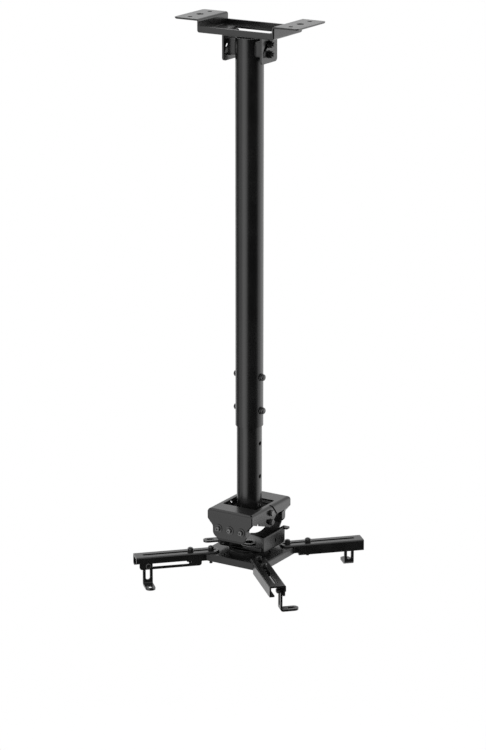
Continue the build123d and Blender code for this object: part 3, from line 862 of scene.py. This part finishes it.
@dataclass
class Studio:
    """A pale floor, soft panels all round and a white background.

    The sky and the walls begin and end at heights of the unit direction that is looked along.
    """

    camera: PhotoCamera
    floor_level: float = -1.7
    floor_radius: float = 1.6
    floor_fade: float = 0.9
    floor_corners: int = 96
    floor_grey: float = 0.9
    floor_white: float = 0.75
    lamp_size: float = 2.0
    lamp_power: float = 14.0
    lamp_place: tuple[float, float, float] = (-0.6, -0.8, 2.2)
    lamp_target: tuple[float, float, float] = (0.0, 0.0, -0.5)
    ambient: float = 0.02
    sky: float = 1.1
    sky_from: float = 0.03
    sky_full: float = 0.20
    walls_full: float = 0.05
    walls_none: float = 0.30
    backdrop: Panel = Panel(turn_deg=180.0, full_deg=30.0, none_deg=62.0, strength=1.0)
    panels: tuple[Panel, ...] = (
        Panel(turn_deg=-39.5, full_deg=6.0, none_deg=30.0, strength=1.2),
        Panel(turn_deg=-63.0, full_deg=12.0, none_deg=50.0, strength=0.95),
        Panel(turn_deg=122.0, full_deg=15.0, none_deg=62.0, strength=1.75),
        Panel(turn_deg=-150.0, full_deg=8.0, none_deg=40.0, strength=0.2),
    )

    def build(self) -> None:
        """Adds world, floor and lamp."""
        self._world()
        self._floor()
        self._lamp()

    def _world(self) -> None:
        """White to camera and clear pieces, and to gloss behind the mount; panels elsewhere."""
        world = bpy.data.worlds.new("studio")
        world.use_nodes = True
        bpy.context.scene.world = world
        graph = Graph(world.node_tree)
        direction = graph.node("ShaderNodeTexCoord", output="Generated")
        level = graph.node(
            "ShaderNodeVectorMath", {"operation": "MULTIPLY"}, {0: direction, 1: (1, 1, 0)}
        )
        level = graph.node("ShaderNodeVectorMath", {"operation": "NORMALIZE"}, {0: level})
        height = graph.node("ShaderNodeSeparateXYZ", None, {0: direction}, "Z")
        overhead = self.ambient + self.sky
        light = graph.ramp(height, self.sky_from, self.sky_full, self.ambient, overhead)
        walls = graph.ramp(height, self.walls_full, self.walls_none, 1.0, 0.0)
        for panel in self.panels:
            light = light + walls * panel.light(graph, level, self.camera)
        mirrored = graph.rays("Is Glossy Ray") * self.backdrop.light(graph, level, self.camera)
        seen = graph.clamp(graph.rays("Is Camera Ray", "Is Transmission Ray") + mirrored)
        strength = seen + (1 - seen) * light
        inputs = {"Color": grey(1.0), "Strength": strength}
        shade = graph.node("ShaderNodeBackground", None, inputs)
        graph.node("ShaderNodeOutputWorld", None, {"Surface": shade})

    def _floor(self) -> None:
        """A pale disc under the mount whose rim fades into the background."""
        deselect()
        bpy.ops.mesh.primitive_circle_add(
            vertices=self.floor_corners, radius=self.floor_radius, fill_type="NGON",
            location=(0, 0, self.floor_level),
        )
        floor = bpy.context.object
        floor.name = "studio_floor"
        material, graph = new_material("pale_floor")
        place = graph.node("ShaderNodeTexCoord", output="Object")
        reach = graph.node("ShaderNodeVectorMath", {"operation": "LENGTH"}, {0: place}, "Value")
        pale = graph.node("ShaderNodeBsdfDiffuse", None, {"Color": grey(self.floor_grey)})
        white = graph.node("ShaderNodeEmission", None, {"Color": grey(1.0), "Strength": 1.0})
        seen = graph.rays("Is Camera Ray", "Is Glossy Ray", "Is Transmission Ray")
        share = seen * self.floor_white
        plain = graph.node("ShaderNodeMixShader", None, {0: share, 1: pale, 2: white})
        clear = graph.node("ShaderNodeBsdfTransparent")
        rim = graph.ramp(reach, self.floor_fade, self.floor_radius)
        surface = graph.node("ShaderNodeMixShader", None, {0: rim, 1: plain, 2: clear})
        graph.node("ShaderNodeOutputMaterial", None, {"Surface": surface})
        floor.data.materials.append(material)

    def _lamp(self) -> None:
        """A large soft lamp overhead."""
        data = bpy.data.lights.new("overhead", "AREA")
        data.shape = "DISK"
        data.size = self.lamp_size
        data.energy = self.lamp_power
        lamp = bpy.data.objects.new("overhead", data)
        lamp.location = self.lamp_place
        away = Vector(self.lamp_place) - Vector(self.lamp_target)
        lamp.rotation_euler = away.to_track_quat("Z", "Y").to_euler()
        bpy.context.scene.collection.objects.link(lamp)


def main() -> None:
    """Builds the scene."""
    logging.basicConfig(level=logging.INFO)
    bpy.context.scene.view_settings.view_transform = "Standard"
    coat = CoatedSteel("black_powder_coat").build()
    # Same coat with weaker reflection: painted shade for the cradle and the spider.
    shaded_coat = CoatedSteel("shaded_powder_coat", specular=0.34).build()
    zinc = PlatedSteel("black_zinc", dark=0.035, light=0.06, roughness=0.14).build()
    oxide = PlatedSteel("black_oxide", dark=0.035, light=0.06, roughness=0.2).build()
    # Lighter copy of the dark plating: a painted highlight for the glints on bolt heads and the hub
    # collar.
    glint_plating = PlatedSteel("glint_plating").build()
    Dressing(coat, shaded_coat, zinc, oxide, glint_plating).dress()
    ThreadedStud(Thread.M6).replace("hanger_studs", Along.X, "pole", zinc)
    ThreadedStud(Thread.M5).replace("arm_studs", Along.Z, "spider", zinc)
    Welds().build(coat)
    camera = PhotoCamera()
    camera.build()
    Studio(camera).build()


if __name__ == "__main__":
    main()
